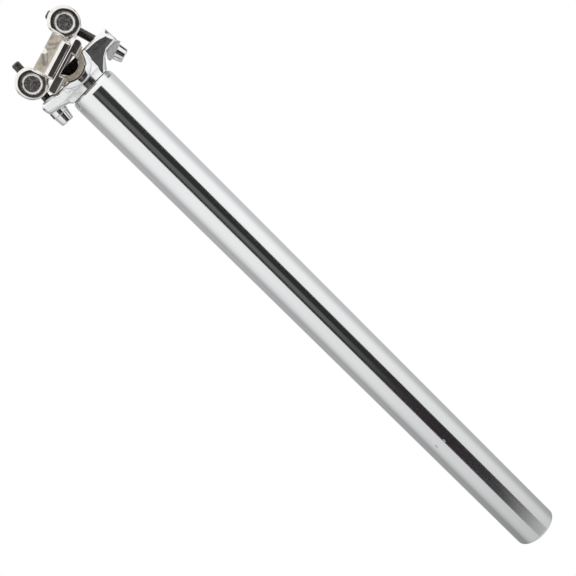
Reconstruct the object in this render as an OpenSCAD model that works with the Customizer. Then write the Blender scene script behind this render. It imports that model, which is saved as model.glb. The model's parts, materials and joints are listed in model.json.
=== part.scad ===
// Rigid two-bolt seatpost: bonded forged head, rocking rail cradle, upper clamp with
// barrel nuts, and two bolts that set the saddle's angle and clamp its rails.
// Origin: centre of the tube's open lower end. +Z up the tube, +X to the bicycle's rear.
// Millimetres.

/* [Tube] */
// Outside diameter of the tube, a standard seatpost size
tube_od = 27.2; // [26.8:0.2:27.6]
// Length of the tube, from its open end to the joint under the head
tube_l = 371; // [300:1:380]
// Wall thickness of the tube
tube_wall = 2.1; // [2:0.1:2.3]
// Height of the shoulder that rounds the top of the tube
shoulder_h = 3.2; // [2:0.1:4]
// How far the shoulder comes in at the joint
shoulder_in = 1.0; // [0.6:0.1:1.1]

/* [Head] */
// Length of the spigot that is bonded into the tube
spigot_l = 36; // [30:1:45]
// Gap round the spigot that the adhesive fills
bond_gap = 0.15; // [0.12:0.01:0.2]
// Half the width of the rear ear across the bicycle
ear_half_w = 8; // [7:0.1:8]
// Thickness of the keel that stands in the middle of the seat
keel_w = 4; // [3.6:0.1:4.2]

/* [Cradle] */
// Height of the rocking centre above the joint
rock_z = 17.1; // [17:0.05:17.2]
// Radius of the cradle's half-round belly
belly_r = 9.3; // [9.25:0.01:9.32]
// Radius of the hollow inside the belly
hollow_r = 6.3; // [6.2:0.05:6.4]
// Angle of the rails to a plane square to the tube, rear end up
tilt = 16.1; // [16:0.1:16.4]

/* [Rails] */
// Diameter of a saddle rail
rail_d = 7; // [7:0.05:7.1]
// Half the distance between the two rails
rail_y = 22; // [21.9:0.05:22.1]
// Height of the rails' centres above the rocking centre, square to the rails
rail_up = 1.8; // [1.75:0.01:1.85]

/* [Bolts] */
// Nominal diameter of the two bolts
bolt_d = 5; // [4.9:0.05:5]
// Length of the front bolt under its head
front_bolt_l = 34.5; // [34:0.5:36]
// Length of the rear bolt under its head
rear_bolt_l = 39.5; // [38.5:0.5:40]
// Lean of the front bolt from the tube's axis, top to the rear
front_lean = 3.2; // [3:0.1:3.4]
// Lean of the rear bolt from the tube's axis, top to the front
rear_lean = -17.3; // [-17.5:0.1:-17.1]

/* [Nuts] */
// Diameter of the barrel nuts
nut_d = 10.8; // [10.6:0.05:11]
// Distance of each nut from the rocking centre, along the rails
nut_x = 17.6; // [17.5:0.05:17.7]
// Height of the nuts above the rocking centre, square to the rails
nut_up = 9.7; // [9.65:0.01:9.75]
// Half the width of the upper clamp's cross bosses
boss_half_w = 16.5; // [15:0.1:16.6]

/* [Hidden] */
$fn = 96;

tube_r = tube_od / 2;
bore_r = tube_r - tube_wall;
spigot_r = bore_r - bond_gap;
joint_z = tube_l;
neck_r = tube_r - shoulder_in - 0.1;
seat_half_w = tube_r;
run_gap = 0.05;
rock = [-0.4, 0, joint_z + rock_z];
rail_r = rail_d / 2;
bolt_r = bolt_d / 2;
nut_r = nut_d / 2;
boss_r = 8.2;
// Flat top of the cradle's window, square to the rails
window_top = -0.6;
// The bosses are ovals, taller than wide by this much
boss_rise = 0.7;

// Washers: half-round top of radius dome_r, its centre below the flat that the bolt head meets
dome_r = 7;
front_flat_up = 1.5;
rear_flat_up = 2.7;
front_washer_r = 4.8;
rear_washer_half = 5.55;
rear_washer_half_w = 5.6;
front_pivot_drop = -0.5;
rear_pivot_rise = 1.15;

// A point of the clamp, given along and square to the rails, in the part's own frame
function on_clamp(x, up) = rock + [x * cos(tilt) - up * sin(tilt), 0, x * sin(tilt) + up * cos(tilt)];
function along_bolt(from, lean, z) = from + [(z - from.z) * tan(lean), 0, z - from.z];
front_nut_at = on_clamp(-nut_x, nut_up);
rear_nut_at = on_clamp(nut_x, nut_up);
front_pivot = along_bolt(front_nut_at, front_lean, joint_z + front_pivot_drop);
rear_pivot = along_bolt(rear_nut_at, rear_lean, joint_z + rear_pivot_rise);

// Outline with rounded corners: each corner is [x, y, radius]
function corner(a, b, c) =
    let (u = a - b, v = c - b, half = acos(u * v / (norm(u) * norm(v))) / 2)
    [u / norm(u), v / norm(v), half];
function rounded(corners, steps = 6) = [
    for (i = [0 : len(corners) - 1])
        let (n = len(corners),
             b = [corners[i].x, corners[i].y], r = corners[i].z,
             a = [corners[(i + n - 1) % n].x, corners[(i + n - 1) % n].y],
             c = [corners[(i + 1) % n].x, corners[(i + 1) % n].y],
             k = corner(a, b, c), back = r / tan(k[2]),
             mid = b + (k[0] + k[1]) / norm(k[0] + k[1]) * r / sin(k[2]),
             p = b + k[0] * back - mid, q = b + k[1] * back - mid,
             a0 = atan2(p.y, p.x), turn = atan2(p.x * q.y - p.y * q.x, p * q))
        if (r == 0) b
        else for (s = [0 : steps]) mid + r * [cos(a0 + turn * s / steps), sin(a0 + turn * s / steps)]];

// Solids with their length across the bicycle
module across(half_w) { rotate([90, 0, 0]) translate([0, 0, -half_w]) linear_extrude(2 * half_w) children(); }
module bar(r, half_w) { rotate([90, 0, 0]) cylinder(r = r, h = 2 * half_w, center = true); }
module in_clamp() { translate(rock) rotate([0, -tilt, 0]) children(); }
module in_bolt(pivot, lean) { translate(pivot) rotate([0, lean, 0]) children(); }
module both_sides() { for (s = [-1, 1]) scale([1, s, 1]) children(); }

module post_tube() {
    color([0.84, 0.85, 0.86]) rotate_extrude() polygon([
        [bore_r + 0.4, 0], [tube_r, 0],
        [tube_r, tube_l - shoulder_h], [tube_r - 0.25, tube_l - shoulder_h * 0.45],
        [tube_r - shoulder_in, tube_l], [bore_r, tube_l], [bore_r, 0.4]]);
}

module bond_layer() {
    color([0.35, 0.34, 0.3]) translate([0, 0, joint_z - spigot_l]) difference() {
        cylinder(r = bore_r, h = spigot_l);
        translate([0, 0, -1]) cylinder(r = spigot_r, h = spigot_l + 2);
    }
}

// Side view of the head: front ear, dip, seat, rear ear
module head_side() {
    translate([0, joint_z]) polygon(rounded([
        [-12.6, 0, 0], [12.6, 0, 0], [13.2, 1.2, 1], [16.6, 5.7, 2], [19.6, 7.3, 2],
        [25, 7.4, 1], [27, 6.7, 0.6], [27, 16.1, 1.6], [9.6, 16.1, 1.2], [6.2, 9.7, 0], [-6.2, 9.7, 0],
        [-14.4, 9.7, 2], [-17.6, 11.7, 2], [-27.4, 10.3, 2.6], [-25.6, 4.7, 1.8], [-14.2, 1.9, 1.5]]));
}

// Plan of the head: round neck and seat, parallel rear ear, tapering front ear
module head_plan() {
    circle(r = seat_half_w);
    translate([0, -ear_half_w]) square([40, 2 * ear_half_w]);
    polygon(rounded([[0, -12.6, 0], [0, 12.6, 0], [-30, 5.9, 4.5], [-30, -5.9, 4.5]]));
}

module bolt_slot(pivot, lean, r, half_travel) {
    in_bolt(pivot, lean) {
        for (s = [-1, 1]) translate([s * half_travel, 0, 0]) cylinder(r = r, h = 25);
        translate([-half_travel, -r, 0]) cube([2 * half_travel, 2 * r, 25]);
    }
}

module head() {
    color([0.86, 0.87, 0.88]) difference() {
        union() {
            translate([0, 0, joint_z - spigot_l]) cylinder(r = spigot_r, h = spigot_l + 2);
            translate([0, 0, joint_z]) cylinder(r = neck_r, h = 6);
            difference() {
                intersection() {
                    across(20) head_side();
                    translate([0, 0, joint_z]) linear_extrude(30) head_plan();
                }
                translate(rock) bar(belly_r + run_gap, 20);
            }
            intersection() {
                translate(rock) bar(hollow_r - 0.25, keel_w / 2);
                translate([-10, -5, joint_z]) cube([20, 10, 15.8]);
            }
            translate([rock.x - 3.4, -keel_w / 2, joint_z + 5]) cube([6.8, keel_w, 8]);
        }
        // Round pocket for the front washer and square one for the rear
        intersection() {
            translate(front_pivot) bar(dome_r + run_gap, 20);
            in_bolt(front_pivot, front_lean) translate([0, 0, -4]) cylinder(r = front_washer_r + 0.4, h = 15);
        }
        translate(rear_pivot) bar(dome_r + run_gap, rear_washer_half_w + 0.2);
        bolt_slot(front_pivot, front_lean, 2.8, 0.5);
        bolt_slot(rear_pivot, rear_lean, 2.8, 0.9);
    }
}

// Side view of a rail trough, along and square to the rails
module trough_side() {
    polygon(rounded([[-16.8, -3.1, 1.2], [13.2, -3.1, 2.2], [13.2, 1.25, 1.3], [-16.8, 1.25, 1.6]]));
}

module lower_cradle() {
    color([0.66, 0.61, 0.55]) in_clamp() difference() {
        union() {
            difference() {
                union() {
                    intersection() {
                        bar(belly_r, 17);
                        translate([-20, -20, -20]) cube([40, 40, 20.4]);
                    }
                    both_sides() translate([0, 17.4, 0]) across(3)
                        polygon([[-10.5, -4.2], [9.4, -4.2], [11, 0.4], [-13.5, 0.4]]);
                }
                bar(hollow_r, 18.4);
            }
            both_sides() translate([0, 22.1, 0]) across(4.1) trough_side();
            // Feet under the rails, where the troughs are deepest
            both_sides() translate([0, 20.6, 0]) across(2.6)
                polygon([[-11, -4.1], [9.6, -4.1], [11, -2], [-13, -2]]);
        }
        both_sides() translate([0, rail_y, rail_up]) rotate([0, 90, 0]) cylinder(r = rail_r, h = 60, center = true);
        // Half-moon window that runs right through, under the rails
        intersection() {
            bar(hollow_r, 30);
            translate([-20, -30, -20]) cube([40, 60, 20 + window_top]);
        }
        // Slot for the head's keel
        translate([-7.6, -keel_w / 2 - 0.5, -12]) cube([10.8, keel_w + 1, 14]);
    }
}

// Section of the upper clamp across the rails, right half
module upper_section() {
    polygon([[0, 3.2], [17, 3.2], [17.8, 2.3], [26.2, 2.3], [26.2, 4.5], [25.4, 5.7], [21.5, 7.4],
             [18, 8.2], [15.6, 10.4], [14.2, 12.7], [0, 12.7]]);
}

// Plan of the upper clamp: its flanges taper towards the bosses
module upper_plan() {
    w = 26.2;
    polygon([[-10.2, w], [-13.2, boss_half_w], [-13.2, -boss_half_w], [-10.2, -w],
             [8.4, -w], [11.8, -boss_half_w], [11.8, boss_half_w], [8.4, w]]);
}

module upper_clamp() {
    color([0.68, 0.63, 0.57]) in_clamp() difference() {
        union() {
            intersection() {
                translate([-20, 0, 0]) rotate([90, 0, 90]) linear_extrude(40) {
                    upper_section();
                    mirror([1, 0]) upper_section();
                }
                translate([0, 0, 2]) linear_extrude(12) upper_plan();
            }
            across(13.5) polygon([[-13, 3.4], [13, 3.4], [17.6, 12.6], [-17.6, 12.6]]);
            for (s = [-1, 1], up = [0, boss_rise]) translate([s * nut_x, 0, nut_up + up]) bar(boss_r, boss_half_w);
        }
        both_sides() translate([0, rail_y, rail_up]) rotate([0, 90, 0]) cylinder(r = rail_r, h = 60, center = true);
        for (s = [-1, 1]) translate([s * nut_x, 0, nut_up]) bar(nut_r + run_gap, 40);
        // Slots where the bolts swing through the bosses
        for (b = [[-1, front_lean + tilt], [1, rear_lean + tilt]])
            translate([b[0] * nut_x, 0, nut_up]) rotate([0, b[1], 0])
                for (up = [0, 180]) rotate([0, up, 0])
                    across(3.1) polygon([[-2.6, 0], [2.6, 0], [4.8, 12], [-4.8, 12]]);
    }
}

// Barrel nut with broad edge chamfers and a cross bore that clears its bolt
module barrel_nut(at, lean) {
    half_w = boss_half_w - 0.2;
    difference() {
        translate(at) rotate([90, 0, 0]) rotate_extrude() polygon([
            [0, -half_w], [nut_r - 1.25, -half_w], [nut_r, -half_w + 0.8],
            [nut_r, half_w - 0.8], [nut_r - 1.25, half_w], [0, half_w]]);
        translate(at) rotate([0, lean, 0]) cylinder(r = bolt_r + 0.4, h = 20, center = true);
    }
}
module front_barrel_nut() { color([0.34, 0.33, 0.33]) barrel_nut(front_nut_at, front_lean); }
module rear_barrel_nut() { color([0.34, 0.33, 0.33]) barrel_nut(rear_nut_at, rear_lean); }

// Round washer with a half-round top
module front_washer() {
    color([0.8, 0.8, 0.81]) in_bolt(front_pivot, front_lean) difference() {
        intersection() {
            bar(dome_r, 10);
            translate([0, 0, front_flat_up]) cylinder(r = front_washer_r, h = 10);
        }
        cylinder(r = bolt_r + run_gap, h = 20);
    }
}

// Half-round washer that lies across the ear
module rear_washer() {
    color([0.62, 0.62, 0.62]) in_bolt(rear_pivot, rear_lean) difference() {
        intersection() {
            bar(dome_r, rear_washer_half_w);
            translate([-rear_washer_half, -10, rear_flat_up]) cube([2 * rear_washer_half, 20, 10]);
        }
        cylinder(r = bolt_r + run_gap, h = 20);
    }
}

// Bolt with a tapered head and a hexagon socket, its head's top flat against a washer
module socket_bolt(length) {
    head_h = 5.3;
    rotate_extrude() polygon([
        [0, 0], [bolt_r, 0], [bolt_r, length - 0.5], [bolt_r - 0.5, length], [0, length]]);
    difference() {
        translate([0, 0, -head_h]) rotate_extrude() polygon([
            [0, 0], [3.45, 0], [3.85, 0.4], [4.55, head_h], [0, head_h]]);
        translate([0, 0, -head_h - 1]) cylinder(r = 4 / sqrt(3), h = 4.2, $fn = 6);
    }
}
module front_bolt() {
    color([0.45, 0.45, 0.46]) in_bolt(front_pivot, front_lean) translate([0, 0, front_flat_up]) socket_bolt(front_bolt_l);
}
module rear_bolt() {
    color([0.45, 0.45, 0.46]) in_bolt(rear_pivot, rear_lean) translate([0, 0, rear_flat_up]) socket_bolt(rear_bolt_l);
}

post_tube();
head();
bond_layer();
lower_cradle();
upper_clamp();
front_barrel_nut();
rear_barrel_nut();
front_washer();
rear_washer();
front_bolt();
rear_bolt();
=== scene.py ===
import json
import math
from itertools import product

import bpy
import numpy as np
from mathutils import Matrix, Vector


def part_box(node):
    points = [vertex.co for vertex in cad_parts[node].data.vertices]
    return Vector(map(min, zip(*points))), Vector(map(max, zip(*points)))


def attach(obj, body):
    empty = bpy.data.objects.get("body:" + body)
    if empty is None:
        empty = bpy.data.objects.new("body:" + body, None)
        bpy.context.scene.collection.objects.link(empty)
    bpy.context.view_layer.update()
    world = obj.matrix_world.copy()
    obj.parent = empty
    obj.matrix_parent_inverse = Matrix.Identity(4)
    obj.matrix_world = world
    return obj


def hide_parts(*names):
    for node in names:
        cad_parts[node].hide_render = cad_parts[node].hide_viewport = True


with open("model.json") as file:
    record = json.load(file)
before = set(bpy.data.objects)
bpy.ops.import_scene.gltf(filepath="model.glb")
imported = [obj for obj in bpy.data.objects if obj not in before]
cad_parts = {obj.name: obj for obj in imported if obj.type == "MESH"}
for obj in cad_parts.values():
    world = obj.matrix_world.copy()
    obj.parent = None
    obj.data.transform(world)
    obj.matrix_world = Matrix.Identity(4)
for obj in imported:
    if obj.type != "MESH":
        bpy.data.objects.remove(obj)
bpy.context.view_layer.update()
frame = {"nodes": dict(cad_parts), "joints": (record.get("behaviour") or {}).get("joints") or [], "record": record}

# Shapes are worked out in millimetres and made in metres. The frame gives their places.
MM = 0.001
JOINTS = {joint["name"]: joint for joint in frame["joints"]}
MOUNTS = {mount["name"]: mount for mount in frame["record"]["mounts"]}


def in_mm(place):
    return np.array(place) / MM


def lean_of(axis):
    """Angle of an axis from straight up, towards +X, in radians."""
    return math.atan2(axis[0], axis[2])


TUBE_R = float(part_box("post_tube")[1][0]) / MM
TUBE_TOP = float(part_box("post_tube")[1][2]) / MM
SPIGOT_END = float(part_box("head")[0][2]) / MM
BORE_R = float(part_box("bond_layer")[1][0]) / MM
ROCK = in_mm(JOINTS["clamp_tilt"]["pos_m"])
RAIL = in_mm(MOUNTS["rail_left"]["pos_m"])
RAIL_R = MOUNTS["rail_left"]["dims"]["r_mm"]
TILT = math.atan2(MOUNTS["rail_left"]["axis"][2], MOUNTS["rail_left"]["axis"][0])
FRONT_NUT = in_mm(JOINTS["front_nut_turn"]["pos_m"])
REAR_NUT = in_mm(JOINTS["rear_nut_turn"]["pos_m"])
FRONT_PIVOT = in_mm(JOINTS["front_washer_rock"]["pos_m"])
REAR_PIVOT = in_mm(JOINTS["rear_washer_rock"]["pos_m"])
FRONT_LEAN = lean_of(JOINTS["front_bolt_turn"]["axis"])
REAR_LEAN = lean_of(JOINTS["rear_bolt_turn"]["axis"])

# ---------------------------------------------------------------- distance fields


def common(a, b, r):
    """Where both solids are, with the edge between them rounded to radius r."""
    return np.minimum(-r, np.maximum(a, b)) + np.hypot(np.maximum(r + a, 0), np.maximum(r + b, 0))


def cut(a, b, r):
    """Solid a without solid b, with the edge rounded to radius r."""
    return common(a, -b, r)


def union(a, b, r):
    """Both solids, with the inner corner between them filled to radius r."""
    return np.maximum(r, np.minimum(a, b)) - np.hypot(np.maximum(r - a, 0), np.maximum(r - b, 0))


def disc(x, y, r):
    return np.hypot(x, y) - r


def between(x, low, high):
    return np.maximum(low - x, x - high)


def smooth_step(x):
    t = np.clip(x, 0, 1)
    return t * t * (3 - 2 * t)


def turned(x, z, centre, angle):
    """x and z seen in a frame at a centre, leaned by an angle from up towards +X."""
    dx, dz = x - centre[0], z - centre[2]
    return dx * math.cos(angle) - dz * math.sin(angle), dx * math.sin(angle) + dz * math.cos(angle)


def outline(corners):
    """Signed distance to a closed outline. Each corner is (x, y, radius)."""
    points = [np.array(c[:2], float) for c in corners]
    area = sum(a[0] * b[1] - a[1] * b[0] for a, b in zip(points, points[1:] + points[:1]))
    if area < 0:
        corners = corners[::-1]
        points = points[::-1]
    bends = []
    for i, b in enumerate(points):
        a, c, r = points[i - 1], points[(i + 1) % len(points)], corners[i][2]
        u, v = (a - b) / np.linalg.norm(a - b), (c - b) / np.linalg.norm(c - b)
        half = math.acos(float(np.clip(u @ v, -1, 1))) / 2
        out = -(u + v) / max(np.linalg.norm(u + v), 1e-9)
        back = r / math.tan(half)
        bends.append({
            "from": b + u * back, "to": b + v * back, "centre": b - out * r / math.sin(half), "r": r,
            "out": out, "reach": math.sin(half), "convex": u[0] * v[1] - u[1] * v[0] < 0})
    lines = []
    for i, bend in enumerate(bends):
        lines.append((bends[i - 1]["to"], bend["from"], True))
        lines.append((bend["from"], bend["to"], bend["r"] == 0))

    def distance(x, y):
        near = np.full(np.broadcast(x, y).shape, 1e9)
        inside = np.zeros(near.shape, bool)
        for p, q, straight in lines:
            dx, dy = q - p
            length = dx * dx + dy * dy
            if length < 1e-12:
                continue
            if straight:
                t = np.clip(((x - p[0]) * dx + (y - p[1]) * dy) / length, 0, 1)
                near = np.minimum(near, np.hypot(x - p[0] - t * dx, y - p[1] - t * dy))
            if abs(dy) > 1e-12:
                crosses = (p[1] > y) != (q[1] > y)
                inside = inside ^ (crosses & (x < dx * (y - p[1]) / dy + p[0]))
        for bend in bends:
            if bend["r"] == 0:
                continue
            u, v = x - bend["centre"][0], y - bend["centre"][1]
            away = np.hypot(u, v)
            faces = u * bend["out"][0] + v * bend["out"][1] >= away * bend["reach"]
            near = np.where(faces, np.minimum(near, abs(away - bend["r"])), near)
            beyond = (x - bend["from"][0]) * bend["out"][0] + (y - bend["from"][1]) * bend["out"][1] > 0
            cap = beyond & (away < bend["r"])
            inside = (inside | cap) if bend["convex"] else (inside & ~cap)
        return np.where(inside, -near, near)

    return distance


# ---------------------------------------------------------------- meshes

CORNERS = np.array(list(product((0, 1), repeat=3)))


def slope(field, points, h=0.01):
    found = np.zeros(points.shape)
    for axis in range(3):
        step = np.zeros(3)
        step[axis] = h
        ahead, behind = (points + step).T, (points - step).T
        found[:, axis] = (field(*ahead) - field(*behind)) / (2 * h)
    return found


def unit(vectors):
    return vectors / np.maximum(np.linalg.norm(vectors, axis=-1, keepdims=True), 1e-9)


def skin(field, low, high, step):
    """Points, four-sided faces and normals of the surface where the field is 0, by dual contouring."""
    low = np.array(low, float)
    axes = [np.arange(a, b + step, step) for a, b in zip(low, high)]
    size = tuple(len(a) for a in axes)
    f = field(axes[0][:, None, None], axes[1][None, :, None], axes[2][None, None, :])
    f = np.broadcast_to(f, size)
    inside = f < 0
    count = np.zeros([n - 1 for n in size], np.uint8)
    for i, j, k in CORNERS:
        count += inside[i:size[0] - 1 + i, j:size[1] - 1 + j, k:size[2] - 1 + k]
    mixed = (count > 0) & (count < 8)
    cells = int(mixed.sum())
    number = np.full(mixed.shape, -1)
    number[mixed] = np.arange(cells)
    faces, hits = [], []
    for axis in range(3):
        e, e1, e2 = (np.eye(3, dtype=int)[(axis + i) % 3] for i in range(3))
        here = inside[tuple(slice(0, size[i] - e[i]) for i in range(3))]
        there = inside[tuple(slice(e[i], size[i]) for i in range(3))]
        for outward in (True, False):
            g = np.argwhere(here & ~there if outward else ~here & there)
            ring = [number[tuple((g + d).T)] for d in (-e1 - e2, -e2, 0 * e1, -e1)]
            faces.append(np.stack(ring if outward else ring[::-1], axis=1))
            near, far = f[tuple(g.T)], f[tuple((g + e).T)]
            hits.append(low + step * (g + (near / (near - far))[:, None] * e))
    faces, hits = np.concatenate(faces), np.concatenate(hits)
    points = corner_points(faces, hits, unit(slope(field, hits)), cells, step)
    for _ in range(3):
        way = slope(field, points)
        move = -field(*points.T)[:, None] * way / np.maximum((way ** 2).sum(1), 0.05)[:, None]
        length = np.linalg.norm(move, axis=1)[:, None]
        points += move * np.minimum(1, 0.5 * step / np.maximum(length, 1e-9))
    return points, faces, corner_normals(field, points, faces)


def corner_points(faces, hits, across, cells, step):
    """The point of each cell that lies best on the planes where its edges cross the surface."""
    cell = faces.ravel()
    hits, across = np.repeat(hits, 4, axis=0), np.repeat(across, 4, axis=0)

    def gathered(values):
        return np.stack([np.bincount(cell, v, cells) for v in values.T], axis=1)

    count = np.bincount(cell, minlength=cells)[:, None]
    mean = gathered(hits) / count
    off = ((hits - mean[cell]) * across).sum(1)[:, None]
    square = gathered((across[:, :, None] * across[:, None, :]).reshape(-1, 9)).reshape(-1, 3, 3)
    square += 0.04 * count[:, :, None] * np.eye(3)
    move = np.linalg.solve(square, gathered(across * off)[:, :, None])[:, :, 0]
    length = np.linalg.norm(move, axis=1)[:, None]
    return mean + move * np.minimum(1, 0.9 * step / np.maximum(length, 1e-9))


def corner_normals(field, points, faces):
    """A normal for each corner of each face: shared if the surface is smooth, else the face's own."""
    shared = unit(slope(field, points))[faces]
    corners = points[faces]
    inward = corners + 0.35 * (corners.mean(axis=1, keepdims=True) - corners)
    own = unit(slope(field, inward.reshape(-1, 3))).reshape(shared.shape)
    smooth = (shared * own).sum(axis=2, keepdims=True) > math.cos(math.radians(16))
    return np.where(smooth, shared, own)


def add_mesh(name, points, faces, materials, normals=None):
    """A smooth-shaded object from points in millimetres, with a normal for each corner of each face."""
    mesh = bpy.data.meshes.new(name)
    faces = [[int(i) for i in face] for face in faces]
    mesh.from_pydata((np.asarray(points) * MM).tolist(), [], faces)
    mesh.update()
    mesh.shade_smooth()
    if normals is not None:
        mesh.normals_split_custom_set(normals.reshape(-1, 3).tolist())
    for material in materials:
        mesh.materials.append(material)
    piece = bpy.data.objects.new(name, mesh)
    bpy.context.scene.collection.objects.link(piece)
    return piece


def frame_points(points, normals, centre, angle):
    """Points and normals from a leaned frame into the row frame."""
    c, s = math.cos(angle), math.sin(angle)
    turn = np.array([[c, 0, s], [0, 1, 0], [-s, 0, c]])
    return points @ turn.T + centre, normals @ turn.T


def carved(name, field, low, high, step, materials, centre=(0, 0, 0), angle=0.0, forged_and_shade=None):
    """A piece whose surface is a distance field, given in a frame at a centre, leaned by an angle.
    The mask given says where the surface is left as it was forged: 0 is worked, 1 is forged, and a material
    may give more, up to 2, for painted shade in hollows; on the head the mask is painted shade alone. It is kept
    as an attribute for the material."""
    points, faces, normals = skin(field, low, high, step)
    left = forged_and_shade(*points.T) if forged_and_shade else np.zeros(len(points))
    points, normals = frame_points(points, normals, np.array(centre), angle)
    piece = add_mesh(name, points, faces, materials, normals)
    attribute = piece.data.attributes.new("forged_and_shade", "FLOAT", "POINT")
    attribute.data.foreach_set("value", np.asarray(left, np.float32))
    return piece


def softened(profile, steps=5):
    """A profile of (r, z, radius) with its corners rounded, as (r, z) points, open at both ends."""
    made = [np.array(profile[0][:2], float)]
    for before, here, after in zip(profile, profile[1:], profile[2:]):
        a, b, c = (np.array(p[:2], float) for p in (before, here, after))
        if here[2] == 0:
            made.append(b)
            continue
        u, v = (a - b) / np.linalg.norm(a - b), (c - b) / np.linalg.norm(c - b)
        half = math.acos(float(np.clip(u @ v, -1, 1))) / 2
        back = here[2] / math.tan(half)
        for i in range(steps + 1):
            t = i / steps
            # A quadratic through the two tangent points is close to the arc, and needs no angles
            made.append((1 - t) ** 2 * (b + u * back) + 2 * t * (1 - t) * b + t ** 2 * (b + v * back))
    made.append(np.array(profile[-1][:2], float))
    return made


def lathe(rings, around):
    """Points and faces of (r, z) points turned about the Z axis. A point with r 0 closes an end;
    without one, the last ring joins the first."""
    angles = np.arange(around) * 2 * math.pi / around
    points, rows = [], []
    for r, z in rings:
        if r < 1e-9:
            rows.append([len(points)] * around)
            points.append((0, 0, z))
        else:
            rows.append(list(range(len(points), len(points) + around)))
            points += [(r * math.cos(a), r * math.sin(a), z) for a in angles]
    faces = []
    closed = rings[0][0] > 1e-9
    pairs = list(zip(rows, rows[1:])) + ([(rows[-1], rows[0])] if closed else [])
    for low, high in pairs:
        for i in range(around):
            j = (i + 1) % around
            face = [low[i], low[j], high[j], high[i]]
            faces.append(list(dict.fromkeys(face)))
    return np.array(points, float), faces


# ---------------------------------------------------------------- materials


class Shader:
    """A metal material, whose nodes are added by the methods below."""

    def __init__(self, name, colour, roughness, metallic=1.0):
        self.material = bpy.data.materials.new(name)
        self.material.use_nodes = True
        self.tree = self.material.node_tree
        self.main = self.tree.nodes["Principled BSDF"]
        self.main.inputs["Base Color"].default_value = (*colour, 1)
        self.main.inputs["Roughness"].default_value = roughness
        self.main.inputs["Metallic"].default_value = metallic
        self.place = self.node("ShaderNodeTexCoord").outputs["Object"]

    def node(self, kind, **settings):
        made = self.tree.nodes.new(kind)
        for name, value in settings.items():
            if hasattr(made, name):
                setattr(made, name, value)
            else:
                made.inputs[name].default_value = value
        return made

    def link(self, out, socket):
        self.tree.links.new(out, socket)

    def stretched(self, x=1.0, y=1.0, z=1.0):
        mapping = self.node("ShaderNodeMapping", vector_type="POINT")
        mapping.inputs["Scale"].default_value = (x, y, z)
        self.link(self.place, mapping.inputs["Vector"])
        return mapping.outputs["Vector"]

    def noise(self, size_mm, detail=2.0, where=None):
        """Noise whose blobs are about size_mm across."""
        made = self.node("ShaderNodeTexNoise", Detail=detail)
        made.inputs["Scale"].default_value = 1 / (size_mm * MM)
        self.link(where or self.place, made.inputs["Vector"])
        return made.outputs["Fac"]

    def mapped(self, value, low, high, start=0.3, end=0.7):
        made = self.node("ShaderNodeMapRange")
        made.inputs["From Min"].default_value = start
        made.inputs["From Max"].default_value = end
        made.inputs["To Min"].default_value = low
        made.inputs["To Max"].default_value = high
        self.link(value, made.inputs["Value"])
        return made.outputs["Result"]

    def math(self, operation, a, b=0.5):
        made = self.node("ShaderNodeMath", operation=operation)
        for socket, value in zip(made.inputs, (a, b)):
            if isinstance(value, (int, float)):
                socket.default_value = value
            else:
                self.link(value, socket)
        return made.outputs["Value"]

    def mix(self, factor, a, b):
        """Mixes two colours, given as values or as sockets."""
        made = self.node("ShaderNodeMix", data_type="RGBA")
        self.link(factor, made.inputs["Factor"])
        for socket, value in zip((made.inputs[6], made.inputs[7]), (a, b)):
            if isinstance(value, tuple):
                socket.default_value = (*value, 1)
            else:
                self.link(value, socket)
        return made.outputs[2]

    def blend_value(self, factor, a, b):
        made = self.node("ShaderNodeMix", data_type="FLOAT")
        self.link(factor, made.inputs["Factor"])
        for socket, value in zip((made.inputs[2], made.inputs[3]), (a, b)):
            if isinstance(value, (int, float)):
                socket.default_value = value
            else:
                self.link(value, socket)
        return made.outputs[0]

    def bump(self, height, depth_mm, below=None):
        made = self.node("ShaderNodeBump", Strength=1.0)
        made.inputs["Distance"].default_value = depth_mm * MM
        self.link(height, made.inputs["Height"])
        if below is not None:
            self.link(below, made.inputs["Normal"])
        self.link(made.outputs["Normal"], self.main.inputs["Normal"])
        return made.outputs["Normal"]

    def forged_and_shade(self):
        # The mask of forged finish and painted shade that carved() keeps on each piece
        made = self.node("ShaderNodeAttribute", attribute_type="GEOMETRY", attribute_name="forged_and_shade")
        return made.outputs["Fac"]

    def parts(self):
        made = self.node("ShaderNodeSeparateXYZ")
        self.link(self.place, made.inputs["Vector"])
        return made.outputs["X"], made.outputs["Y"], made.outputs["Z"]


def tube_material():
    """Polished and clear anodised tube, with fine lines along it and plain etched ticks."""
    s = Shader("tube_alloy", (0.905, 0.915, 0.925), 0.1)
    lines = s.noise(0.35, 3.0, s.stretched(z=0.01))
    cloud = s.noise(22, 2.0, s.stretched(z=0.3))
    x, y, z = s.parts()
    angle = s.math("ARCTAN2", x, s.math("MULTIPLY", y, -1))
    # Ticks: short upright lines in a row, a third of the way up the tube
    ticks_z, tick_h, tick_half = TUBE_TOP - 281, 2.4, 0.034
    first, last, pitch, offset = -1.15, 0.0, 0.43, 0.12
    row = s.math("LESS_THAN", s.math("ABSOLUTE", s.math("SUBTRACT", z, ticks_z * MM)), tick_h / 2 * MM)
    turn = s.math("PINGPONG", s.math("ADD", angle, offset + pitch), pitch / 2)
    mark = s.math("MULTIPLY", row, s.math("LESS_THAN", turn, tick_half))
    span = s.math("MULTIPLY", s.math("GREATER_THAN", angle, first), s.math("LESS_THAN", angle, last))
    mark = s.math("MULTIPLY", mark, span)
    tone = s.mix(s.mapped(cloud, 0, 1), (0.885, 0.895, 0.905), (0.925, 0.93, 0.935))
    s.link(s.mix(mark, tone, (0.62, 0.63, 0.63)), s.main.inputs["Base Color"])
    rough = s.math("ADD", s.mapped(lines, 0.07, 0.12), s.mapped(cloud, 0, 0.03))
    s.link(s.blend_value(mark, rough, 0.55), s.main.inputs["Roughness"])
    s.bump(lines, 0.0006)
    return s.material


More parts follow.
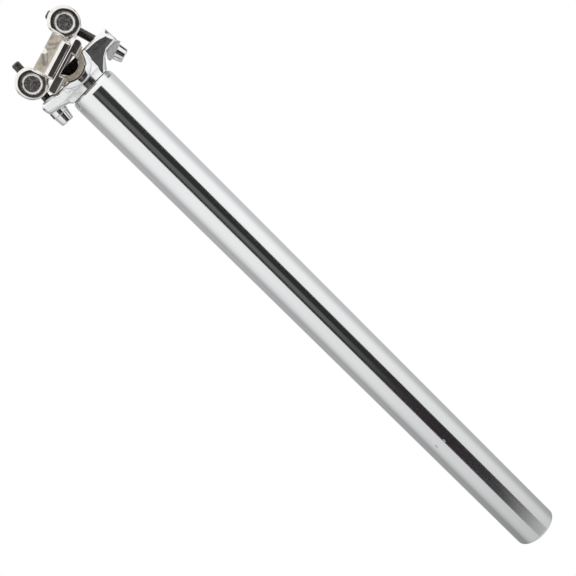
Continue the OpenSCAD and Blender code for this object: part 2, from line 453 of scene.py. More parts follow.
def head_material():
    """Forged and hand polished aluminium, with near-black painted shade on the keel and the seat's bottom, where
    its mask says.
    """
    s = Shader("head_alloy", (0.9, 0.91, 0.92), 0.12)
    wave = s.noise(5, 2.0)
    lines = s.noise(0.5, 3.0, s.stretched(x=0.25))
    forged_and_shade = s.forged_and_shade()
    tone = s.mix(s.mapped(wave, 0, 1), (0.88, 0.89, 0.9), (0.925, 0.93, 0.935))
    # Painted shade: near black on the keel and the seat's bottom, where the cradle's hollow is in shadow
    s.link(s.mix(forged_and_shade, tone, (0.07, 0.065, 0.06)), s.main.inputs["Base Color"])
    rough = s.math("ADD", s.mapped(wave, 0.05, 0.09), s.mapped(s.noise(1.4, 3.0), 0, 0.13))
    s.link(s.blend_value(forged_and_shade, rough, 0.5), s.main.inputs["Roughness"])
    s.bump(lines, 0.001, s.bump(wave, 0.02))
    return s.material


def clamp_material():
    """Nickel-tinted forging: bright where worked, mottled where forged, with dark painted shade in the hollows."""
    s = Shader("clamp_alloy", (0.8, 0.77, 0.72), 0.15)
    cloud = s.noise(2.4, 3.0)
    grain = s.noise(0.45, 2.0)
    forged_and_shade = s.forged_and_shade()
    worked = s.mix(s.mapped(cloud, 0, 1), (0.82, 0.79, 0.745), (0.9, 0.885, 0.86))
    forged = s.mix(s.mapped(cloud, 0, 1), (0.4, 0.35, 0.28), (0.6, 0.545, 0.46))
    # Painted shade: the hollows are darkened where the mask goes above 1
    shade = s.math("MAXIMUM", s.math("SUBTRACT", forged_and_shade, 1.0), 0.0)
    forged = s.mix(shade, forged, (0.2, 0.185, 0.165))
    forged_and_shade = s.math("MINIMUM", forged_and_shade, 1.0)
    s.link(s.mix(forged_and_shade, worked, forged), s.main.inputs["Base Color"])
    smooth = s.math("ADD", s.mapped(cloud, 0.06, 0.1), s.mapped(grain, 0, 0.03))
    dull = s.math("ADD", s.mapped(cloud, 0.66, 0.5), s.mapped(grain, 0, 0.1))
    s.link(s.blend_value(forged_and_shade, smooth, dull), s.main.inputs["Roughness"])
    # Blasted skin scatters light more than plain metal does
    s.link(s.mapped(forged_and_shade, 1.0, 0.2, 0.0, 1.0), s.main.inputs["Metallic"])
    s.bump(s.math("MULTIPLY", grain, s.math("ADD", forged_and_shade, 0.06)), 0.02, s.bump(cloud, 0.006))
    return s.material


def nut_material():
    """Turned steel, its end faces dull and flecked."""
    s = Shader("nut_steel", (0.75, 0.74, 0.73), 0.2)
    fleck = s.noise(0.5, 3.0)
    cloud = s.noise(1.6, 2.0)
    _, y, _ = s.parts()
    face_from = 16.25
    face = s.math("GREATER_THAN", s.math("ABSOLUTE", y), face_from * MM)
    tone = s.mix(s.mapped(cloud, 0, 1), (0.4, 0.385, 0.38), (0.78, 0.75, 0.74))
    s.link(s.mix(face, (0.86, 0.855, 0.85), tone), s.main.inputs["Base Color"])
    dull = s.math("ADD", s.mapped(fleck, 0.14, 0.24), s.mapped(cloud, 0, 0.06))
    s.link(s.blend_value(face, 0.12, dull), s.main.inputs["Roughness"])
    s.bump(s.math("MULTIPLY", fleck, face), 0.008)
    return s.material


def washer_material():
    """Dull zinc-plated steel."""
    s = Shader("washer_steel", (0.6, 0.6, 0.6), 0.4)
    cloud = s.noise(1.2, 3.0)
    grain = s.noise(0.3, 2.0)
    tone = s.mix(s.mapped(cloud, 0, 1), (0.62, 0.62, 0.62), (0.9, 0.9, 0.9))
    s.link(tone, s.main.inputs["Base Color"])
    s.link(s.mapped(cloud, 0.62, 0.45), s.main.inputs["Roughness"])
    s.bump(grain, 0.015, s.bump(cloud, 0.05))
    return s.material


def chrome_material():
    s = Shader("bolt_chrome", (0.86, 0.86, 0.87), 0.07)
    cloud = s.noise(1.5, 2.0)
    tone = s.mix(s.mapped(cloud, 0, 1), (0.82, 0.82, 0.83), (0.9, 0.9, 0.91))
    s.link(tone, s.main.inputs["Base Color"])
    s.link(s.mapped(cloud, 0.05, 0.1), s.main.inputs["Roughness"])
    s.bump(cloud, 0.006)
    return s.material


def thread_material():
    """Dark, oiled steel on the rolled threads."""
    s = Shader("thread_steel", (0.2, 0.19, 0.19), 0.3)
    cloud = s.noise(1.0, 3.0)
    tone = s.mix(s.mapped(cloud, 0, 1), (0.1, 0.094, 0.092), (0.24, 0.228, 0.222))
    s.link(tone, s.main.inputs["Base Color"])
    s.link(s.mapped(cloud, 0.16, 0.3), s.main.inputs["Roughness"])
    return s.material


def adhesive_material():
    s = Shader("adhesive", (0.1, 0.095, 0.085), 0.55, metallic=0.0)
    cloud = s.noise(1.5, 2.0)
    tone = s.mix(s.mapped(cloud, 0, 1), (0.05, 0.047, 0.042), (0.13, 0.12, 0.11))
    s.link(tone, s.main.inputs["Base Color"])
    s.link(s.mapped(cloud, 0.45, 0.65), s.main.inputs["Roughness"])
    s.bump(cloud, 0.03)
    return s.material


TUBE_ALLOY = tube_material()
HEAD_ALLOY = head_material()
CLAMP_ALLOY = clamp_material()
NUT_STEEL = nut_material()
WASHER_STEEL = washer_material()
CHROME = chrome_material()
THREAD_STEEL = thread_material()
ADHESIVE = adhesive_material()


def finish_piece(piece, body, slot, *nodes):
    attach(piece, body)
    if nodes:
        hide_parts(*nodes)
    return piece


# ---------------------------------------------------------------- post: tube, bond and spigot

SHOULDER_H = 3.2
SHOULDER_IN = 1.0
SPIGOT_R = BORE_R - 0.15


def make_tube():
    rim = TUBE_R - SHOULDER_IN
    rings = softened([
        (BORE_R + 0.4, 0.02, 0), (BORE_R + 0.75, 0, 0.1), (TUBE_R, 0, 0.45), (TUBE_R, 1.5, 0),
        (TUBE_R, TUBE_TOP - SHOULDER_H, 0.05), (TUBE_R - 0.3, TUBE_TOP - 1.1, 0.8),
        (rim, TUBE_TOP - 0.12, 0.25), (rim - 0.35, TUBE_TOP - 0.1, 0),
        (BORE_R, TUBE_TOP - 0.1, 0), (BORE_R, TUBE_TOP - 40, 0),
        (BORE_R, 1.2, 0.3), (BORE_R + 0.4, 0.02, 0)])[:-1]
    points, faces = lathe(rings, 160)
    piece = add_mesh("tube", points, faces, [TUBE_ALLOY])
    mark_sharp(piece, 35)
    return finish_piece(piece, "post", "tube_alloy", "post_tube")


def mark_sharp(piece, degrees):
    """Keeps edges that turn more than some degrees crisp."""
    piece.data.set_sharp_from_angle(angle=math.radians(degrees))


def make_spigot():
    """The part of the head that is bonded inside the tube, hollow to save weight."""
    r, low, high = SPIGOT_R, SPIGOT_END, TUBE_TOP + 1.5
    groove = r - 0.35
    points, faces = lathe(softened([
        (0, low + 4.5, 0), (5.2, low + 4.5, 1.5), (7.6, low, 0.5), (r - 0.8, low, 0.3),
        (r, low + 0.8, 0.3), (r, low + 12, 0), (groove, low + 12.4, 0.1),
        (groove, low + 14.6, 0.1), (r, low + 15, 0), (r, high, 0), (0, high, 0)]), 96)
    piece = add_mesh("head_spigot", points, faces, [HEAD_ALLOY])
    mark_sharp(piece, 40)
    return finish_piece(piece, "post", "head_alloy")


def make_bond():
    """The adhesive's ring that shows as a dark line in the joint."""
    points, faces = lathe(softened([
        (SPIGOT_R, TUBE_TOP - 0.2, 0), (TUBE_R - 1.75, TUBE_TOP - 0.2, 0.05),
        (TUBE_R - 1.7, TUBE_TOP + 0.3, 0.1), (SPIGOT_R, TUBE_TOP + 0.35, 0),
        (SPIGOT_R, TUBE_TOP - 0.2, 0)])[:-1], 96)
    piece = add_mesh("bond_line", points, faces, [ADHESIVE])
    finish_piece(piece, "post", "adhesive")
    sleeve = frame["nodes"]["bond_layer"]
    sleeve.data.materials.clear()
    sleeve.data.materials.append(ADHESIVE)


# ---------------------------------------------------------------- head

# Side view of the head above the joint: front ear, dip, seat, rear ear
HEAD_SIDE = outline([
    (-12.6, -6, 0), (12.7, -6, 0), (12.7, 0.6, 0.5), (13.2, 1.4, 1), (16.6, 5.7, 2), (19.6, 7.3, 2),
    (25, 7.4, 1), (27, 6.7, 0.5), (27, 16.1, 1.6), (9.6, 16.1, 1.2), (6.2, 9.7, 0), (-6.2, 9.7, 0),
    (-14.4, 9.7, 3), (-17.6, 11.6, 4), (-27.5, 11.0, 3.2), (-25.6, 4.7, 1.8),
    (-14.2, 1.9, 1.5), (-12.6, 0.3, 0.3)])
FRONT_EAR_END = 27.6
FRONT_EAR_TAPER = math.radians(13)
REAR_EAR_HALF = 8.0
REAR_EAR_TOP_CORNER = (28, 15.5)
HEAD_BOTTOM = 0.25
# The neck's radius from front to back, and how much more it is across the ears
NECK_R = 11.65
NECK_BROADER = 0.8
SEAT_R = 9.35
KEEL_R = 6.05
KEEL_TOP = 16.2
KEEL_HALF = 2.0
# The washers' pockets: dome radius, and for each ear its pivot, lean, and how far the bolt rocks
DOME_R = 7.05
POCKETS = [(FRONT_PIVOT, FRONT_LEAN, 0.5), (REAR_PIVOT, REAR_LEAN, 0.9)]
BOLT_HOLE_R = 2.8


def head_field(x, y, z):
    up = z - TUBE_TOP
    from_rock = np.hypot(x - ROCK[0], z - ROCK[2])
    # The band round the seat stands proud of the neck, and curves in to it at its lower edge
    out = np.clip((from_rock - 9.6) / 3.5, 0, 1)
    band = 1 - 0.35 * out ** 2 - 0.65 * out ** 24
    # The neck is a little wider across the ears than it is from front to back
    broad = x ** 2 / np.maximum(x ** 2 + y ** 2, 1e-6)
    flare = 0.02 * np.clip(up, 0, 9) + 0.4 * np.clip((up - 1.2) / 2.8, 0, 1.2) ** 2
    neck = NECK_R + NECK_BROADER * broad + flare
    radius = neck + (TUBE_R - neck) * band
    # In plan the front ear's flanks run off the round neck at a tangent
    c, s = math.cos(FRONT_EAR_TAPER), math.sin(FRONT_EAR_TAPER)
    flank = np.abs(y) * c - x * s - radius
    plan = np.where(x * c + np.abs(y) * s < 0, flank, np.hypot(x, y) - radius)
    plan = common(plan, -x - FRONT_EAR_END, 4.0)
    corner = np.hypot(x - REAR_EAR_TOP_CORNER[0], up - REAR_EAR_TOP_CORNER[1])
    corner = np.exp(-corner ** 2 / 38)
    edge = 1.25 + 0.65 * smooth_step((up - 9) / 4) + 3.9 * corner
    side = HEAD_SIDE(x, up)
    # The rear ear's flat flank runs out to a point beside the neck, as its edge gets rounder
    rear = np.maximum(np.abs(y) - REAR_EAR_HALF, -x)
    rear = common(side, rear, edge + 2.7 * np.clip((6.5 - up) / 6, 0, 1))
    edge = edge + 1.2 * smooth_step(-(x + 9) / 6) - 0.75 * smooth_step((3.2 - up) / 2.4)
    body = union(common(side, plan, edge), rear, 0.25)
    body = common(body, HEAD_BOTTOM - up, 0.3)
    # The seat opens out a little towards its ends
    seat = SEAT_R + 0.45 * smooth_step((np.abs(y) - 10.2) / 2)
    body = cut(body, from_rock - seat, 0.3)
    keel = common(from_rock - KEEL_R, up - KEEL_TOP, 0.5)
    keel = union(keel, np.maximum(np.abs(x - ROCK[0]) - 3.4, between(up, 5, 13)), 1.0)
    keel = common(keel, np.abs(y) - KEEL_HALF, 0.4)
    body = union(body, keel, 0.4)
    for pivot, lean, half_travel in POCKETS:
        u, w = turned(x, z, pivot, lean)
        slot = disc(np.maximum(np.abs(u) - half_travel, 0), y, BOLT_HOLE_R)
        # The front pocket is round, as its washer is. The rear one runs across the ear.
        width = disc(u, y, 5.2) if pivot is FRONT_PIVOT else np.abs(y) - 5.8
        pocket = common(disc(u, w, DOME_R), width, 0.2)
        pocket = np.maximum(pocket, -w - 9)
        body = cut(body, pocket, 0.25)
        body = cut(body, np.maximum(slot, -w), 0.35)
    return body


def keel_painted_shade(x, y, z):
    """Where the keel and the bottom of the seat get dark painted shade, inside the cradle's hollow."""
    near = smooth_step((SEAT_R - 0.6 - np.hypot(x - ROCK[0], z - ROCK[2])) / 0.5)
    return near * smooth_step((3.4 - np.abs(y)) / 0.6)


def make_head(step):
    low = (-28.5, -14.5, TUBE_TOP - 0.6)
    high = (28.2, 14.5, TUBE_TOP + 17.2)
    # The head's mask is painted shade on the keel and the seat's bottom
    piece = carved("head_forging", head_field, low, high, step, [HEAD_ALLOY], forged_and_shade=keel_painted_shade)
    return finish_piece(piece, "post", "head_alloy", "head")


# ---------------------------------------------------------------- cradle and upper clamp
# Both are drawn in the clamp's own frame: x along the rails, up square to them, from the rocking axis

BELLY_R = 9.3
BELLY_HALF = 17
HOLLOW_R = 6.3
WINDOW_TOP = -0.6
TROUGH_FROM, TROUGH_TO = 18, 26.2
RAIL_Y = abs(float(RAIL[1]))
RAIL_UP = float(np.dot(RAIL - ROCK, (-math.sin(TILT), 0, math.cos(TILT))))
TROUGH_SIDE = outline([(-16.8, -3.1, 1.2), (13.2, -3.1, 2.2), (13.2, 1.25, 1.3), (-16.8, 1.25, 1.6)])
BRIDGE_SIDE = outline([(-10.5, -4.2, 0.5), (9.4, -4.2, 0.5), (11, 0.4, 0.3), (-13.5, 0.4, 0.3)])
FOOT_SIDE = outline([(-11, -4.1, 0.5), (9.6, -4.1, 0.5), (11, -2, 0), (-13, -2, 0)])


def rail_grooves(y, up):
    return disc(np.abs(y) - RAIL_Y, up - RAIL_UP, RAIL_R)


def cradle_field(x, y, up):
    side = np.abs(y)
    belly = common(common(disc(x, up, BELLY_R), up - 0.4, 0.4), side - BELLY_HALF, 0.35)
    bridge = common(BRIDGE_SIDE(x, up), between(side, 14.4, 20.4), 0.4)
    body = union(belly, bridge, 0.3)
    body = cut(body, np.maximum(disc(x, up, HOLLOW_R), side - 18.4), 0.4)
    trough = common(TROUGH_SIDE(x, up), between(side, TROUGH_FROM, TROUGH_TO), 0.45)
    foot = common(FOOT_SIDE(x, up), between(side, TROUGH_FROM, 23.2), 0.3)
    body = union(body, union(trough, foot, 0.3), 0.3)
    body = cut(body, rail_grooves(y, up), 0.35)
    # The window's arch in the troughs is a little longer than the hollow
    in_trough = side > BELLY_HALF + 0.6
    arch = disc(x + np.where(in_trough, 0.9, 0), up, HOLLOW_R + np.where(in_trough, 0.3, 0))
    window = common(arch, up - WINDOW_TOP, 0.3)
    body = cut(body, window, 0.3)
    keel_slot = np.maximum(np.maximum(between(x, -7.6, 3.2), side - 2.5), between(up, -12, 2))
    return cut(body, keel_slot, 0.3)


def cradle_forged_and_shade(x, y, up):
    """The belly and the feet are as forged, with dark painted shade inside the hollow; the troughs are worked."""
    side = np.abs(y)
    # Painted shade: darker inside the hollow, added on top of the forged belly's value
    inner = smooth_step((HOLLOW_R + 0.2 - np.hypot(x, up)) / 0.15)
    inner = inner * smooth_step((BELLY_HALF - 0.3 - side) / 0.2)
    belly = smooth_step((BELLY_HALF + 0.6 - side) / 0.5)
    return np.maximum(belly, smooth_step((-3.0 - up) / 0.4)) + inner


def make_cradle(step):
    low, high = (-17.4, -26.8, -10), (13.8, 26.8, 2)
    piece = carved("cradle_forging", cradle_field, low, high, step,
                   [CLAMP_ALLOY], ROCK, -TILT, cradle_forged_and_shade)
    return finish_piece(piece, "cradle", "clamp_alloy", "lower_cradle")


NUT_X = float(np.dot(REAR_NUT - ROCK, (math.cos(TILT), 0, math.sin(TILT))))
NUT_UP = float(np.dot(REAR_NUT - ROCK, (-math.sin(TILT), 0, math.cos(TILT))))
NUT_R = 5.4
NUT_HALF = 16.3
BOSS_R = 8.2
BOSS_HALF = 16.5
# A boss rises a little above its circle, and stops short of the clamp's middle
BOSS_RISE = 0.7
BOSS_INNER = NUT_X - 7.2
# The section across the bicycle is drawn for one side, and mirrored
CLAMP_HALF_SECTION = [
    (17, 3.2, 0.3), (17.8, 1.85, 0.3), (26.2, 1.85, 0.12),
    (26.2, 5.2, 1.2), (17.4, 8.3, 5), (13.9, 12.7, 1.0)]
CLAMP_SECTION = outline(CLAMP_HALF_SECTION + [(-y, up, r) for y, up, r in CLAMP_HALF_SECTION[::-1]])
CLAMP_PLAN = outline([
    (-10.3, 29, 0), (-11.2, 16.5, 1), (-11.2, -16.5, 1), (-10.3, -29, 0),
    (8.4, -29, 0), (10.6, -16.5, 1), (10.6, 16.5, 1), (8.4, 29, 0)])
WEB_SIDE = outline([(-13, 3.4, 0.5), (13, 3.4, 0.5), (17.6, 12.6, 0), (-17.6, 12.6, 0)])
WEB_HALF = 13.5
BOLT_SLOT_SIDE = outline([(-2.6, 0, 0), (2.6, 0, 0), (4.8, 12, 0), (-4.8, 12, 0)])
BOLT_SLOT_HALF = 3.1
# Forged hollows on each flank, leaning away from a rib in the middle: both ends, and radius
FLANK_SCOOPS = [
    ((-1.9, 15.3, 12.2), (-6.0, 17.5, 9.3), 1.15), ((-0.6, 16.7, 10.4), (-5.6, 19.2, 7.9), 0.95),
    ((1.6, 16.0, 11.4), (4.3, 19.3, 7.8), 0.95), ((4.3, 15.7, 11.6), (6.5, 19.2, 7.9), 1.05)]


def capsule(x, y, z, start, end):
    """Distance to the line between two points."""
    way = np.subtract(end, start)
    t = (x - start[0]) * way[0] + (y - start[1]) * way[1] + (z - start[2]) * way[2]
    t = np.clip(t / (way @ way), 0, 1)
    return np.sqrt((x - start[0] - t * way[0]) ** 2 + (y - start[1] - t * way[1]) ** 2
                   + (z - start[2] - t * way[2]) ** 2)


def clamp_field(x, y, up):
    side = np.abs(y)
    body = common(CLAMP_SECTION(y, up), CLAMP_PLAN(x, y), 0.7)
    for start, end, r in FLANK_SCOOPS:
        body = cut(body, capsule(x, side, up, start, end) - r, 0.3)
    body = union(body, common(WEB_SIDE(x, up), side - WEB_HALF, 0.5), 0.5)
    rise = np.clip(up - NUT_UP, 0, BOSS_RISE)
    boss = disc(np.abs(x) - NUT_X, up - NUT_UP - rise, BOSS_R)
    boss = common(boss, BOSS_INNER - np.abs(x), 1.0)
    boss = common(boss, side - BOSS_HALF, 1.7 + 0.35 * np.clip((up - NUT_UP) / 8, -1, 1))
    body = union(body, boss, 0.3)
    body = cut(body, rail_grooves(y, up), 0.3)
    body = cut(body, disc(np.abs(x) - NUT_X, up - NUT_UP, NUT_R + 0.05), 0.06)
    for sign, lean in ((-1, FRONT_LEAN + TILT), (1, REAR_LEAN + TILT)):
        u, w = turned(x, up, (sign * NUT_X, 0, NUT_UP), lean)
        slot = np.maximum(BOLT_SLOT_SIDE(u, np.abs(w)), side - BOLT_SLOT_HALF)
        body = cut(body, slot, 0.25)
    return body


def clamp_forged_and_shade(x, y, up):
    """The flanks and the middle are as forged, with dark painted shade in the flank hollows; the lips, bosses and
    grooves are worked.
    """
    flank = smooth_step((up - 5.9) / 0.8) * smooth_step((10.6 - np.abs(x)) / 0.8)
    rib = 1 - smooth_step((1.9 - np.hypot(x, (up - 12.6) * 0.7)) / 0.8)
    # Painted shade: darker in and near the forged hollows on the flanks
    near = np.min([capsule(x, np.abs(y), up, a, b) - r for a, b, r in FLANK_SCOOPS], axis=0)
    return flank * rib * (1 + smooth_step((0.25 - near) / 0.4))


def make_clamp(step):
    low, high = (-27, -26.8, 0.6), (27, 26.8, 19.4)
    piece = carved("upper_clamp_forging", clamp_field, low, high, step,
                   [CLAMP_ALLOY], ROCK, -TILT, clamp_forged_and_shade)
    return finish_piece(piece, "upper_clamp", "clamp_alloy", "upper_clamp")


# ---------------------------------------------------------------- nuts, washers and bolts

NUT_STEP = 0.22
NUT_BORE_R = 2.9


def make_nut(end, centre, lean):
    face_r, shoulder = NUT_R - 1.2, NUT_HALF - 0.85
    profile = outline([
        (-NUT_HALF, 0, 0), (-NUT_HALF, face_r, 0.25), (-shoulder, NUT_R, 0.6),
        (shoulder, NUT_R, 0.6), (NUT_HALF, face_r, 0.25), (NUT_HALF, 0, 0),
        (NUT_HALF, -NUT_R, 0), (-NUT_HALF, -NUT_R, 0)])

    def field(x, y, z):
        body = profile(y, np.hypot(x, z))
        return cut(body, disc(x, y, NUT_BORE_R), 0.3)

    reach = np.array((NUT_R + 0.5, NUT_HALF + 0.5, NUT_R + 0.5))
    piece = carved(end + "_nut_turned", field, -reach, reach, NUT_STEP, [NUT_STEEL], centre, lean)
    return finish_piece(piece, end + "_nut", "nut_steel", end + "_barrel_nut")


DOME = 7.0
BOLT_R = 2.5
WASHER_STEP = 0.16


def make_front_washer():
    def field(x, y, z):
        body = common(disc(x, z, DOME), disc(x, y, 4.8), 0.25)
        body = common(body, 1.5 - z, 0.25)
        return cut(body, disc(x, y, BOLT_R + 0.05), 0.15)

    piece = carved("front_washer_turned", field, (-5.4, -5.4, 1), (5.4, 5.4, 7.6), WASHER_STEP,
                   [CHROME], FRONT_PIVOT, FRONT_LEAN)
    return finish_piece(piece, "front_washer", "bolt_chrome", "front_washer")


def make_rear_washer():
    def field(x, y, z):
        body = common(disc(x, z, DOME), np.abs(y) - 5.6, 0.4)
        body = common(common(body, np.abs(x) - 5.55, 0.3), 2.7 - z, 0.25)
        return cut(body, disc(x, y, BOLT_R + 0.05), 0.15)

    piece = carved("rear_washer_formed", field, (-6.2, -6.2, 2.2), (6.2, 6.2, 7.6), WASHER_STEP,
                   [WASHER_STEEL], REAR_PIVOT, REAR_LEAN)
    return finish_piece(piece, "rear_washer", "washer_steel", "rear_washer")


# The socket head: its outside from its end to its seat, as (r, z, radius), and its hexagon's half width
HEAD_END, HEAD_SEAT = -5.3, -0.06
HEAD_PROFILE = [
    (3.0, HEAD_END, 0), (3.45, HEAD_END, 0.12), (3.85, -4.9, 0.2),
    (4.55, HEAD_SEAT, 0.3), (2.3, HEAD_SEAT, 0)]
SOCKET_HALF = 2.0
SOCKET_FLOOR = -2.1
THREAD_PITCH, THREAD_DEPTH = 0.8, 0.34


def make_bolt(end, pivot, lean, flat_up, length):
    """A bolt with a tapered socket head and a rolled thread. It points up, and its head's seat is
    flat_up above the pivot."""
    around = 96
    head_points, head_faces = [], []
    # Hexagon socket: its mouth is chamfered out to a circle
    angles = np.arange(around) * 2 * math.pi / around
    hexagon = SOCKET_HALF / np.cos((angles % (math.pi / 3)) - math.pi / 6)

    def ring(radii, z):
        start = len(head_points)
        radii = np.broadcast_to(radii, angles.shape)
        head_points.extend((r * math.cos(a), r * math.sin(a), z) for r, a in zip(radii, angles))
        return list(range(start, start + around))

    rows = [ring(hexagon * 0.15, SOCKET_FLOOR + 0.05), ring(hexagon, SOCKET_FLOOR),
            ring(hexagon, HEAD_END + 0.35), ring(np.maximum(hexagon, 2.45), HEAD_END)]
    rows += [ring(r, z) for r, z in softened(HEAD_PROFILE)]
    middle = len(head_points)
    head_points += [(0, 0, SOCKET_FLOOR + 0.1), (0, 0, HEAD_SEAT)]
    for low, high in zip(rows, rows[1:]):
        for i in range(around):
            j = (i + 1) % around
            head_faces.append([low[j], low[i], high[i], high[j]])
    for i in range(around):
        j = (i + 1) % around
        head_faces.append([middle, rows[0][i], rows[0][j]])
        head_faces.append([middle + 1, rows[-1][j], rows[-1][i]])
    head_count = len(head_faces)

    # Thread: one tooth a pitch, its ridge winding up the shank and fading out at both ends
    sides, per_pitch = 40, 10
    start_z, end_z = -0.5, length
    count = int((end_z - start_z) / THREAD_PITCH * per_pitch) + 1
    base = len(head_points)
    points = list(head_points)
    faces = list(head_faces)
    turn = np.arange(sides) / sides
    crest_r = BOLT_R - 0.02
    for i in range(count):
        z = start_z + (end_z - start_z) * i / (count - 1)
        phase = (z / THREAD_PITCH - turn) % 1
        depth = np.clip(np.abs(phase - 0.5) * 3.4 - 0.5, 0, 1) * THREAD_DEPTH
        fade = min(1, max(0, (z - 0.9) / 0.8))
        point_cone = 0.75 * max(0, z - (length - 0.65)) / 0.65
        radii = crest_r - np.maximum(depth * fade, point_cone)
        points += [(r * math.cos(a), r * math.sin(a), z) for r, a in zip(radii, turn * 2 * math.pi)]
    for i in range(count - 1):
        for k in range(sides):
            n = (k + 1) % sides
            a, b = base + i * sides, base + (i + 1) * sides
            faces.append([a + k, a + n, b + n, b + k])
    points += [(0, 0, start_z), (0, 0, length)]
    for k in range(sides):
        n = (k + 1) % sides
        faces.append([len(points) - 2, base + n, base + k])
        faces.append([len(points) - 1, base + (count - 1) * sides + k, base + (count - 1) * sides + n])

    points = np.array(points) + (0, 0, flat_up)
    points, _ = frame_points(points, np.zeros((1, 3)), pivot, lean)
    piece = add_mesh(end + "_bolt_m5", points, faces, [CHROME, THREAD_STEEL])
    slots = np.zeros(len(faces), int)
    slots[head_count:] = 1
    piece.data.polygons.foreach_set("material_index", slots)
    mark_sharp(piece, 40)
    return finish_piece(piece, end + "_bolt", "bolt_chrome", end + "_bolt")


# ---------------------------------------------------------------- camera, light and floor

CAM_AWAY = 0.58375
CAM_DROP = 0.00135
CAM_PITCH = 14.6
CAM_YAW = 0.231
CAM_ROLL = 45.33
CAM_LENS = 66.94


def make_camera():
    """Level with the joint under the head, looking down at the post's lower end."""
    data = bpy.data.cameras.new("camera")
    data.lens = CAM_LENS
    data.sensor_width = 36.0
    data.clip_start = 0.01
    camera = bpy.data.objects.new("camera", data)
    bpy.context.scene.collection.objects.link(camera)
    look = Matrix.Rotation(math.radians(CAM_YAW), 4, "Z")
    look = look @ Matrix.Rotation(math.radians(90 - CAM_PITCH), 4, "X")
    look = look @ Matrix.Rotation(math.radians(-CAM_ROLL), 4, "Z")
    look.translation = Vector((0, -CAM_AWAY, TUBE_TOP * MM - CAM_DROP))
    camera.matrix_world = look
    bpy.context.scene.camera = camera


# Brightness of the studio's walls by direction: degrees round from the front towards +X, and brightness
WALLS = [
    (-180, 0.86), (-165, 0.74), (-150, 0.46), (-133, 0.4), (-121, 0.46), (-108, 0.4), (-96, 0.46),
    (-84, 0.66), (-70, 0.8), (-50, 0.86), (-30, 0.84), (40, 0.92), (75, 0.94), (88, 0.86), (98, 0.76),
    (110, 0.62), (130, 0.58), (148, 0.54), (160, 0.66), (180, 0.86)]
# How the walls' brightness changes from straight down, 0, to straight up, 1
RISE = [
    (0.0, 0.95), (0.22, 0.85), (0.31, 0.6), (0.34, 0.8),
    (0.39, 0.92), (0.45, 1.04), (0.52, 1.07), (1.0, 1.0)]
# The dark screen in front, in degrees: its brightness from left to right, its edges and its tint
SCREEN = [(-11.5, 0.026), (-6.5, 0.115), (7.0, 0.115), (11.0, 0.026)]
SCREEN_LEFT, SCREEN_RIGHT = -19.5, 37.2
SCREEN_LOW, SCREEN_HIGH = -31.8, 12.0
SCREEN_TINT = (1.06, 0.94, 1.0)
# A small dark flag on each side, a little behind: from, to, and how high it starts and ends
FLAGS = [(-147, -106, 0.3), (90, 126, 3.5)]
FLAG_HIGH = 11.5
FLAG_COLOUR = (0.03, 0.028, 0.03, 1)


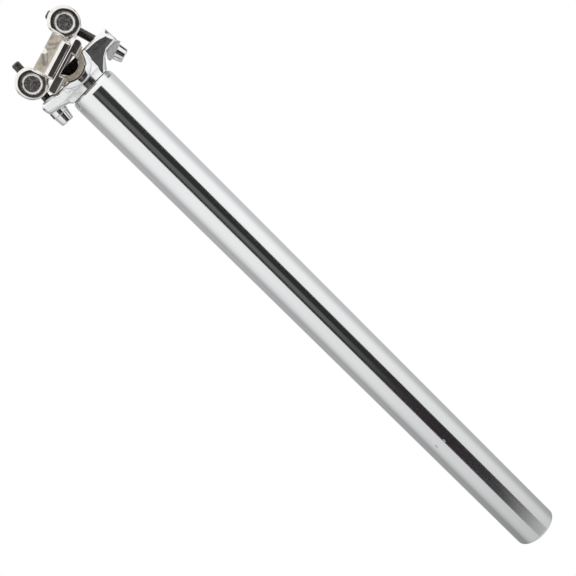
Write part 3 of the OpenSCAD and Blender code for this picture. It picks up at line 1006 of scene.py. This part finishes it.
def make_world():
    world = bpy.data.worlds.new("studio")
    bpy.context.scene.world = world
    world.use_nodes = True
    tree = world.node_tree
    tree.nodes.clear()
    link = tree.links.new

    def math_node(operation, *values, clamp=False):
        node = tree.nodes.new("ShaderNodeMath")
        node.operation = operation
        node.use_clamp = clamp
        for socket, value in zip(node.inputs, values):
            if isinstance(value, (int, float)):
                socket.default_value = value
            else:
                link(value, socket)
        return node.outputs["Value"]

    def ramp(value, stops, interpolation="LINEAR"):
        node = tree.nodes.new("ShaderNodeValToRGB")
        node.color_ramp.interpolation = interpolation
        elements = node.color_ramp.elements
        while len(elements) < len(stops):
            elements.new(0.5)
        for element, (place, level) in zip(elements, stops):
            element.position = place
            element.color = (level, level, level, 1)
        link(value, node.inputs["Fac"])
        return node.outputs["Color"]

    def edge(value, start, end):
        """0 before start, 1 past end, smooth between."""
        node = tree.nodes.new("ShaderNodeMapRange")
        node.interpolation_type = "SMOOTHSTEP"
        node.inputs["From Min"].default_value = start
        node.inputs["From Max"].default_value = end
        link(value, node.inputs["Value"])
        return node.outputs["Result"]

    def mixed(factor, a, b):
        node = tree.nodes.new("ShaderNodeMix")
        node.data_type = "RGBA"
        link(factor, node.inputs["Factor"])
        for socket, value in zip((node.inputs[6], node.inputs[7]), (a, b)):
            if isinstance(value, tuple):
                socket.default_value = value
            else:
                link(value, socket)
        return node.outputs[2]

    coordinate = tree.nodes.new("ShaderNodeTexCoord")
    parts = tree.nodes.new("ShaderNodeSeparateXYZ")
    link(coordinate.outputs["Generated"], parts.inputs["Vector"])
    x, y, z = parts.outputs
    degrees = 180 / math.pi
    azimuth = math_node("MULTIPLY", math_node("ARCTAN2", x, math_node("MULTIPLY", y, -1)), degrees)
    height = math_node("MULTIPLY", math_node("ARCSINE", z), degrees)
    share = math_node("DIVIDE", math_node("ADD", azimuth, 180), 360)
    walls = ramp(share, [((a + 180) / 360, level) for a, level in WALLS])
    rise = ramp(math_node("DIVIDE", math_node("ADD", height, 90), 180), RISE)
    walls = mixed(edge(height, 8, 35), walls, (1.0, 1.0, 1.0, 1))
    for left, right, low in FLAGS:
        flag = math_node("MULTIPLY", edge(azimuth, left - 2, left + 2),
                         math_node("SUBTRACT", 1, edge(azimuth, right - 2, right + 2)))
        above = edge(height, FLAG_HIGH - 1.5, FLAG_HIGH + 1.5)
        flag = math_node("MULTIPLY", flag, edge(height, low - 0.3, low + 0.3))
        flag = math_node("MULTIPLY", flag, math_node("SUBTRACT", 1, above))
        walls = mixed(flag, walls, FLAG_COLOUR)
    shade = tree.nodes.new("ShaderNodeVectorMath")
    shade.operation = "MULTIPLY"
    link(walls, shade.inputs[0])
    link(rise, shade.inputs[1])
    walls = shade.outputs["Vector"]
    screen = ramp(math_node("DIVIDE", math_node("ADD", azimuth, 40), 80),
                  [((a + 40) / 80, level) for a, level in SCREEN])
    # The screen's paler middle strip ends level with the joint, and fades out lower down
    dark = tuple(SCREEN[0][1] * tint for tint in SCREEN_TINT)
    strip = math_node("MULTIPLY", edge(height, -24, -15), math_node("SUBTRACT", 1, edge(height, 0.5, 2)))
    screen = mixed(strip, (*dark, 1), screen)
    inside = math_node("MULTIPLY", edge(azimuth, SCREEN_LEFT - 1.2, SCREEN_LEFT + 1.2),
                       math_node("SUBTRACT", 1, edge(azimuth, SCREEN_RIGHT - 1.5, SCREEN_RIGHT + 1.5)))
    upright = math_node("MULTIPLY", edge(height, SCREEN_LOW - 0.8, SCREEN_LOW + 0.6),
                        math_node("SUBTRACT", 1, edge(height, SCREEN_HIGH - 1, SCREEN_HIGH + 1)))
    light = mixed(math_node("MULTIPLY", inside, upright), walls, screen)
    # Behind the object the studio is plain white
    path = tree.nodes.new("ShaderNodeLightPath")
    light = mixed(path.outputs["Is Camera Ray"], light, (1, 1, 1, 1))
    background = tree.nodes.new("ShaderNodeBackground")
    link(light, background.inputs["Color"])
    output = tree.nodes.new("ShaderNodeOutputWorld")
    link(background.outputs["Background"], output.inputs["Surface"])


def make_floor():
    """A pale, evenly lit floor just under the tube's end."""
    low, high, reach = -0.8, -0.6, 160
    points, faces = lathe([(0, high), (reach, high), (reach, low), (0, low)], 96)
    material = bpy.data.materials.new("floor")
    material.use_nodes = True
    tree = material.node_tree
    tree.nodes.clear()
    glow = tree.nodes.new("ShaderNodeEmission")
    glow.inputs["Color"].default_value = (1, 1, 1, 1)
    output = tree.nodes.new("ShaderNodeOutputMaterial")
    tree.links.new(glow.outputs["Emission"], output.inputs["Surface"])
    floor = add_mesh("floor", points, faces, [material])
    floor.visible_glossy = False


# Mesh size of the forged pieces, in millimetres. The clamp's is a little coarser, to bound its faces.
STEP = 0.3
CLAMP_STEP = 1.08 * STEP
FRONT_BOLT_L, REAR_BOLT_L = 34.5, 39.5

make_camera()
make_world()
make_floor()
make_tube()
make_spigot()
make_bond()
make_head(STEP)
make_cradle(STEP)
make_clamp(CLAMP_STEP)
make_nut("front", FRONT_NUT, FRONT_LEAN)
make_nut("rear", REAR_NUT, REAR_LEAN)
make_front_washer()
make_rear_washer()
make_bolt("front", FRONT_PIVOT, FRONT_LEAN, 1.5, FRONT_BOLT_L)
make_bolt("rear", REAR_PIVOT, REAR_LEAN, 2.7, REAR_BOLT_L)
bpy.context.scene.view_settings.view_transform = "Standard"
